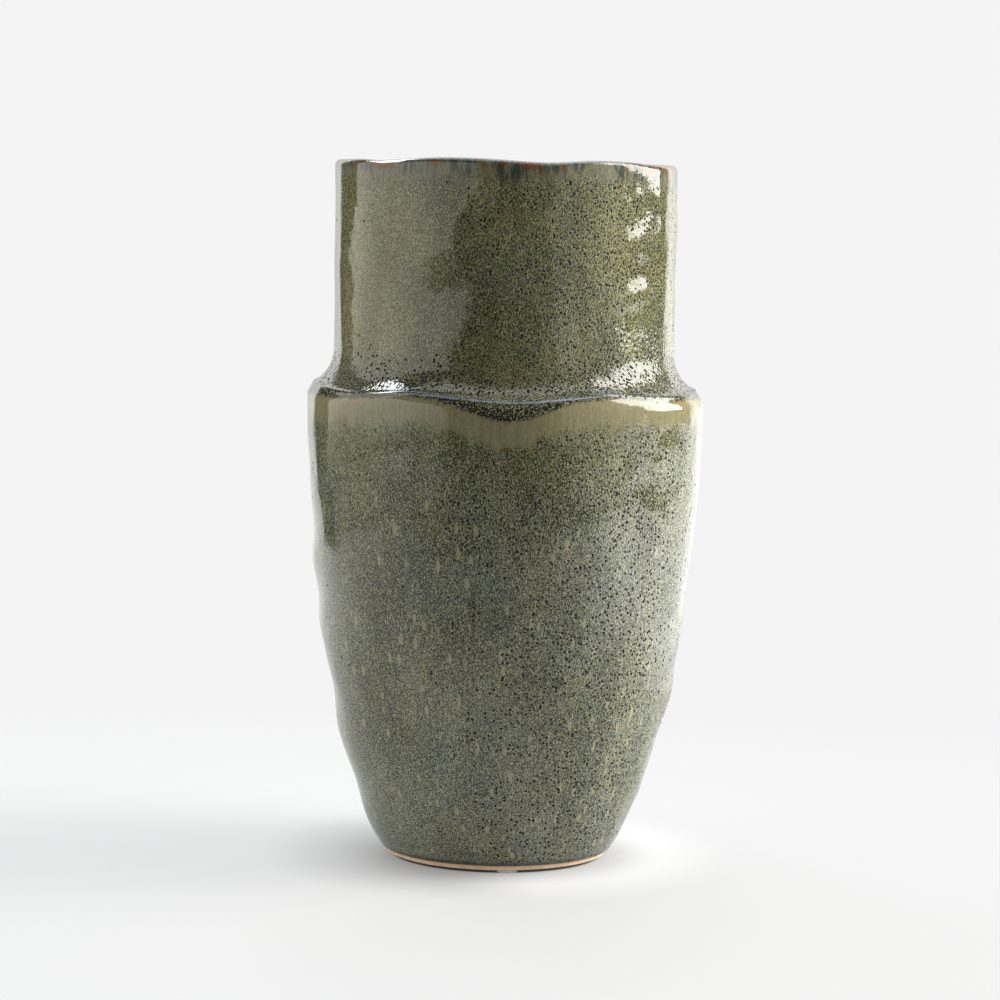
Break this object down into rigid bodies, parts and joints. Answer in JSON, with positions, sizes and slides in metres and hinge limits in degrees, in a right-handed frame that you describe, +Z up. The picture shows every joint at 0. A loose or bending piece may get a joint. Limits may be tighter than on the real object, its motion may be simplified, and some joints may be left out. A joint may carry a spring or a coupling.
{
  "type": "stoneware vase",
  "caption": "Tall glazed stoneware vase: a swelling belly on a turned foot, a sloping ledge and a wide upright neck.",
  "frame": {"origin": "on the table, under the middle of the vase's outline", "axes": "+Z up along the vase's axis; -Y is the front, where one foot pad shows; +X is to the right seen from the front"},
  "size_m": [0.17, 0.17, 0.3],
  "materials": {
    "stoneware_clay": "matte",
    "outer_glaze": "gloss",
    "inner_glaze": "gloss",
    "clear_pad": "gloss",
    "pad_adhesive": "gloss"
  },
  "bodies": {
    "root": {"body_clay": "stoneware_clay", "neck_clay": "stoneware_clay", "outer_glaze": "outer_glaze", "inner_glaze": "inner_glaze", "foot_pad_front": "clear_pad", "foot_pad_left": "clear_pad", "foot_pad_right": "clear_pad", "pad_adhesive_front": "pad_adhesive", "pad_adhesive_left": "pad_adhesive", "pad_adhesive_right": "pad_adhesive"}
  },
  "joints": []
}
